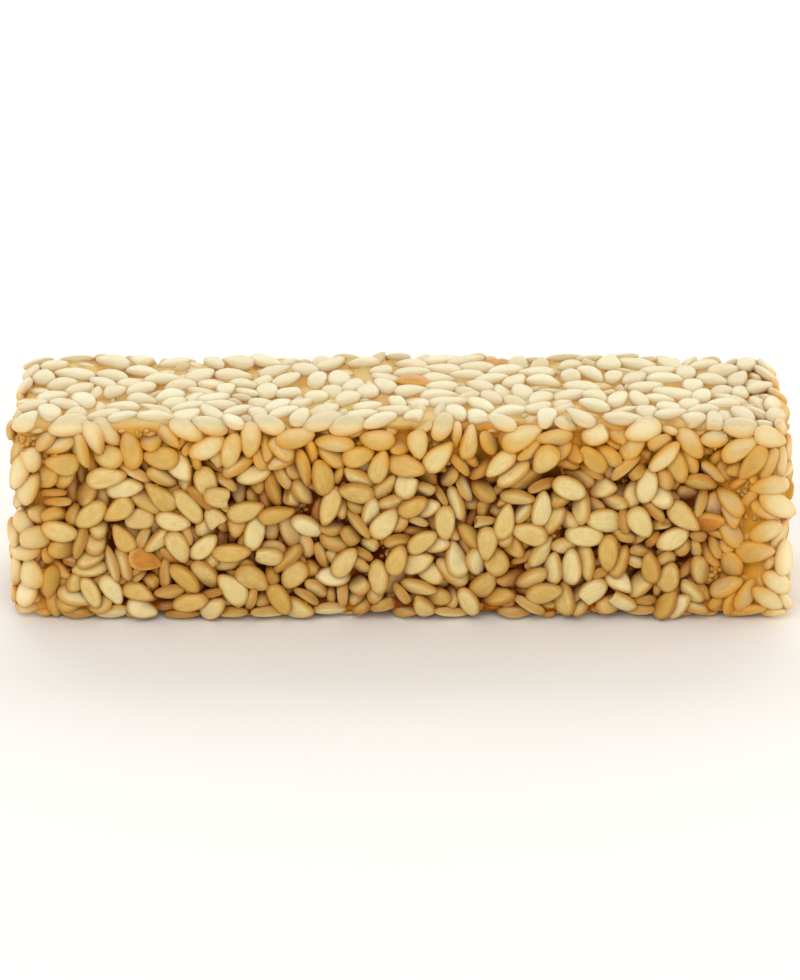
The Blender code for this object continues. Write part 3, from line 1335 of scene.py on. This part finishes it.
@dataclass
class SesameBrittle:
    """The whole bar: its packed seeds and its syrup."""

    bar: PressedBar
    shape: SeedShape = field(default_factory=SeedShape)
    pit_share: float = 0.07
    pit_below: float = 0.5 * MM
    pit_lean: float = 0.6
    hidden_below: float = 2.1 * MM
    breaks: tuple[float, float] = (0.05, 0.25)
    toasted_places: tuple[tuple[float, float, float], ...] = (
        (0.5 * MM, 1.4 * MM, 9.4 * MM), (-20.8 * MM, -8.8 * MM, -3.6 * MM),
        (26.4 * MM, -8.8 * MM, 1.0 * MM), (-7.4 * MM, -8.8 * MM, 6.7 * MM))
    # How finely the seeds are made, how uneven each one is, and what counts as top and as end.
    fine_above: float = 0.95 * MM
    underside: float = -0.8
    fine: tuple[int, int] = (28, 8)
    coarse: tuple[int, int] = (12, 6)
    dent_turn: float = 6.28
    grain_shift: float = 40.0
    top_lean: tuple[float, float] = (0.55, 0.95)
    end_part: tuple[float, float] = (0.5, 1.0)
    # The painted shade of the pits, which painted light coming in at the edges clears, and the
    # painted shade at the foot.
    deep_start: float = 0.45 * MM
    deep_end: float = 2.3 * MM
    clearing: float = 0.85
    seed_dark: float = 0.80
    foot_start: float = 0.2 * MM
    foot_height: float = 1.5 * MM
    foot_dark: float = 0.8
    # The painted glow and the painted paleness near the thin edges, where light comes through.
    thin_ends: float = 0.7
    glow_full: float = 2.6 * MM
    glow_end: float = 6.5 * MM
    edge_glow: float = 0.75
    right_glow: float = 0.15
    left_glow: float = 0.20
    pale_end: float = 2.4 * MM
    pale_wider: float = 0.5
    pale_most: float = 0.90
    pale_dims: float = 0.45
    pale_dims_right: float = 0.30
    # The crumbly band near the right end: a painted golden glow, some painted shade, and browner
    # seeds.
    band_place: float = 5.0 * MM
    band_spread: float = 2.1 * MM
    band_lower: tuple[float, float] = (0.55, 0.45)
    band_glow: float = 0.9
    band_dark: float = 0.30
    band_dark_seeds: float = 0.14
    band_stain: float = 0.32
    # The painted whitish sheen on the pressed top, and the painted paleness at the ends.
    sheen_start: float = 0.1 * MM
    sheen_depth_seeds: float = 1.1 * MM
    sheen_depth_syrup: float = 2.6 * MM
    end_paleness: float = 0.75
    # The stain that the syrup leaves on the seeds where it touches them, and the stain and painted
    # shade that brown them the deeper they lie.
    stain_and_shade_start: float = 0.35 * MM
    stain_and_shade_end: float = 1.5 * MM
    stain_and_shade_most: float = 0.55
    wetting: tuple[float, float] = (0.02 * MM, 0.26 * MM)
    wet_most: float = 0.8

    def pack(self, dice: np.random.Generator) -> None:
        """Settle the seeds, open some pits on the cut sides and sort the rest by kind.

        Args:
            dice: the random draws.
        """
        packing = SeedPacking(self.bar, self.shape)
        seeds = packing.settle(dice)
        top, outward = packing.highest(seeds)
        cut_side = np.abs(outward[:, 2]) < self.pit_lean
        lost = (dice.random(len(top)) < self.pit_share) & cut_side & (top < self.pit_below)
        keep = ~lost & (top < self.hidden_below)
        self.seeds = seeds.kept(keep)
        self.top = top[keep]
        self.facing = outward[keep, 2]
        edges = np.cumsum(list(KIND_SHARES.values()))
        self.kind = np.searchsorted(edges / edges[-1], dice.random(len(self.top)))
        split = self.kind == list(SeedKind).index(SeedKind.SPLIT)
        breaks = self.breaks[0] + self.breaks[1] * dice.random(len(self.top))
        self.seeds.broken_at[split] = breaks[split]
        for place in self.toasted_places:
            nearest = lengths(self.seeds.middles - self.bar.middle - place)[:, 0].argmin()
            self.kind[nearest] = list(SeedKind).index(SeedKind.TOASTED)
            self.seeds.broken_at[nearest] = WHOLE
        self.dice = dice

    def dress(self, piece: bpy.types.Object, wet: np.ndarray | None = None) -> None:
        """Store what the finishes read: depth in the bar and nearness to its thin edges.

        Args:
            piece: a seed piece, the syrup or the crumbs.
            wet: how far each vertex is stained by syrup, for a seed piece.
        """
        normals = np.empty(len(piece.data.vertices) * 3, dtype=np.float32)
        piece.data.vertex_normals.foreach_get("vector", normals)
        points = vertices(piece)
        open_to_view = 1.0 - np.clip(-normals.reshape(-1, 3)[:, 2].astype(float), 0.0, 1.0)
        distance, outward = self.bar.wall(points)
        depth = -distance
        if wet is None:
            depth = np.maximum(depth, open_to_view * self.bar.from_open_face(points))
        upward = smooth_step(*self.top_lean, outward[:, 2])
        edge = self.bar.from_edge(points) * (1.0 + self.thin_ends * np.abs(outward[:, 0]))
        near_edge = 1.0 - smooth_step(self.glow_full, self.glow_end, edge)
        along = (points[:, 0] - self.bar.middle[0]) / self.bar.half[0]
        right, left = smooth_step(*self.end_part, along), smooth_step(*self.end_part, -along)
        ends = np.maximum(left, right)
        # The crumbly band near the right end, stronger lower down, which adds painted glow and
        # painted shade.
        to_end = self.bar.half[0] * (1.0 - along)
        band = np.exp(-((to_end - self.band_place) / self.band_spread) ** 2)
        low = (self.bar.high[2] - points[:, 2]) / (self.bar.high[2] - self.bar.low[2])
        band = band * (self.band_lower[0] + self.band_lower[1] * low)
        # Painted light from the edges clears the painted shade of the pits. The foot gets none of
        # it.
        depth_shade = smooth_step(self.deep_start, self.deep_end, depth)
        depth_shade = depth_shade * (1.0 - self.clearing * np.maximum(near_edge, band))
        depth_shade = np.maximum(depth_shade, (self.band_dark if wet is None else self.band_dark_seeds) * band)
        # Painted paleness near the thin edges, wider at the ends.
        pale = 1.0 - smooth_step(0.0, self.pale_end * (1.0 + self.pale_wider * ends), edge)
        # Painted glow near the thin edges and in the band, none on the top.
        glow = near_edge * (1.0 - (self.pale_dims + self.pale_dims_right * right) * pale)
        glow = glow * (self.edge_glow + self.right_glow * right - self.left_glow * left)
        glow = np.maximum(glow, self.band_glow * band) * (1.0 - upward)
        # Painted whitish sheen on the top, fading with depth.
        sheen = self.sheen_depth_syrup if wet is None else self.sheen_depth_seeds
        top_sheen = upward * (1.0 - smooth_step(self.sheen_start, sheen, depth))
        store(piece, "glow", glow)
        if wet is None:
            # Painted shade on the syrup toward the floor at the foot, where the edges' light does
            # not reach.
            foot_shade = 1.0 - smooth_step(self.foot_start, self.foot_height,
                                     points[:, 2] - self.bar.low[2])
            store(piece, "depth_shade", np.maximum(depth_shade, self.foot_dark * foot_shade * (1.0 - near_edge)))
            # The painted sheen of the top, with painted paleness at the ends.
            store(piece, "painted_sheen", np.maximum(top_sheen, self.end_paleness * pale * ends))
            return
        # Stain and painted shade that brown the seeds the deeper they lie, added to the syrup's
        # stain where it touches them.
        depth_stain_and_shade = self.stain_and_shade_most * smooth_step(self.stain_and_shade_start, self.stain_and_shade_end, depth)
        depth_stain_and_shade = np.maximum(depth_stain_and_shade, self.band_stain * band)
        store(piece, "painted_sheen", top_sheen)
        # Painted shade on seeds that lie deep in the bar.
        store(piece, "depth_shade", self.seed_dark * depth_shade)
        store(piece, "wet", np.maximum(wet, depth_stain_and_shade))
        # Painted paleness of the seeds near the thin edges, none on the top.
        store(piece, "pale", self.pale_most * pale * (1.0 - upward))

    def seed_piece(self, kind: SeedKind, number: int, skin: SyrupSkin) -> bpy.types.Object:
        """Join all seeds of one kind into one piece.

        Args:
            kind: the kind of seed.
            number: its place among the kinds.
            skin: the syrup, which stains the seeds where they meet it.

        Returns:
            The piece.
        """
        points, triangles, tints, rims, grains, offset = [], [], [], [], [], 0
        for index in np.flatnonzero(self.kind == number):
            fine = self.top[index] < self.fine_above and self.facing[index] > self.underside
            around, rings = self.fine if fine else self.coarse
            draw = self.dice.random(9)
            shape = self.shape
            local, rim = shape.points(around, rings, shape.taper * 2.0 * draw[0],
                                      shape.bow * (2.0 * draw[1] - 1.0),
                                      self.dent_turn * draw[2:5], self.seeds.broken_at[index])
            grains.append(local / MM + self.grain_shift * draw[6:9])
            local = local * self.seeds.scales[index]
            axes = self.seeds.axes[index]
            placed = (self.seeds.middles[index] + local[:, :1] * axes[0]
                      + local[:, 1:2] * axes[1] + local[:, 2:] * axes[2])
            points.append(placed)
            rims.append(rim)
            tints.append(np.full(len(placed), draw[5]))
            triangles.append(shape.faces(around, rings) + offset)
            offset += len(placed)
        all_points = np.vstack(points)
        piece = mesh_object(kind.value, all_points, np.vstack(triangles))
        store(piece, "tint", np.concatenate(tints))
        store(piece, "rim", np.concatenate(rims))
        store(piece, "grain", np.vstack(grains))
        wet = smooth_step(*self.wetting, -skin.sample(all_points))
        self.dress(piece, self.wet_most * wet)
        piece.data.materials.append(SEED_FINISHES[kind].material())
        return piece

    def build(self) -> list[bpy.types.Object]:
        """Make every piece of the bar and put it on the frame.

        Returns:
            The syrup, the seeds of each kind and the crumbs.
        """
        dice = np.random.default_rng(RANDOM_SEED)
        self.pack(dice)
        skin = SyrupSkin(self.bar, self.shape)
        skin.measure(self.seeds)
        syrup = skin.build()
        self.dress(syrup)
        syrup.data.materials.append(SetHoneySyrup().material())
        seeds = [self.seed_piece(kind, number, skin) for number, kind in enumerate(SeedKind)]
        crumbs = CrumbScatter(self.bar).build(syrup, skin, dice)
        self.dress(crumbs)
        crumbs.data.materials.append(SyrupCrumb().material())
        pieces = [syrup, *seeds, crumbs]
        for piece in pieces:
            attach(piece, BODY)
        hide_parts(SLAB)
        return pieces


# --------------------------------------------------------------------------------------
# The studio
# --------------------------------------------------------------------------------------

@dataclass(frozen=True)
class SoftLight:
    """One soft rectangular light. Its place and size are in metres and its power in watts."""

    name: str
    place: tuple[float, float, float]
    size: tuple[float, float]
    power: float
    colour: str = "#FFFFFF"

    def hang(self, aim: Vector) -> None:
        """Hang the light.

        Args:
            aim: the place that it faces.
        """
        data = bpy.data.lights.new(self.name, "AREA")
        data.shape = "RECTANGLE"
        data.size, data.size_y = self.size
        data.energy = self.power
        data.color = linear(self.colour)[:3]
        lamp = bpy.data.objects.new(self.name, data)
        lamp.location = self.place
        lamp.rotation_euler = (aim - Vector(self.place)).to_track_quat("-Z", "Y").to_euler()
        bpy.context.scene.collection.objects.link(lamp)


SOFT_LIGHTS = (
    SoftLight("back_top", (0.0, 0.55, 0.36), (1.10, 0.60), 3.0),
    SoftLight("front_fill", (-0.08, -0.55, 0.45), (0.70, 0.50), 2.9),
    SoftLight("right_end", (0.50, 0.12, 0.14), (0.30, 0.30), 1.0, "#FFF8EE"),
    SoftLight("left_end", (-0.50, 0.12, 0.14), (0.30, 0.30), 0.5),
)


@dataclass
class Studio:
    """A pale floor, soft light and the camera."""

    low: np.ndarray
    elevation_deg: float = 22.4
    distance: float = 0.390
    lens_mm: float = 164.8
    sensor_mm: float = 36.0
    near_clip: float = 0.01
    floor_size: float = 3.0
    aim_height: float = 0.0130
    room_colour: str = "#FBFAF8"
    room_strength: float = 0.52

    def floor(self) -> None:
        """Lay the floor under the bar."""
        bpy.ops.mesh.primitive_plane_add(size=self.floor_size, location=(0, 0, self.low[2]))
        floor = bpy.context.object
        floor.name = "floor"
        floor.data.materials.append(MattPaper().material())

    def lights(self) -> None:
        """Hang the soft lights and set the room's own light."""
        for soft_light in SOFT_LIGHTS:
            soft_light.hang(Vector((0.0, 0.0, self.aim_height)))
        world = bpy.data.worlds.new("room")
        world.use_nodes = True
        add_node(world.node_tree, "Background", {
            "Color": linear(self.room_colour), "Strength": self.room_strength})
        bpy.context.scene.world = world

    def camera(self) -> None:
        """Set up the camera in front of the bar, looking a little down."""
        data = bpy.data.cameras.new("camera")
        data.lens = self.lens_mm
        data.sensor_width = self.sensor_mm
        data.clip_start = self.near_clip
        eye = bpy.data.objects.new("camera", data)
        tilt = math.radians(self.elevation_deg)
        aim = Vector((0.0, self.low[1], self.aim_height))
        eye.location = aim + self.distance * Vector((0.0, -math.cos(tilt), math.sin(tilt)))
        eye.rotation_euler = (aim - eye.location).to_track_quat("-Z", "Y").to_euler()
        bpy.context.scene.collection.objects.link(eye)
        bpy.context.scene.camera = eye

    def build(self) -> None:
        """Set the studio up."""
        self.floor()
        self.lights()
        self.camera()
        bpy.context.scene.view_settings.view_transform = "Standard"


def main() -> None:
    """Build the studio and the bar."""
    logging.basicConfig(level=logging.INFO, format="%(name)s: %(message)s")
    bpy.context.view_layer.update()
    low, high = (np.array(corner, dtype=float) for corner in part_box(SLAB))
    Studio(low).build()
    for piece in SesameBrittle(PressedBar(low, high)).build():
        log.info("%s: %d triangles", piece.name, triangle_count(piece))
    bpy.context.view_layer.update()


if __name__ == "__main__":
    main()
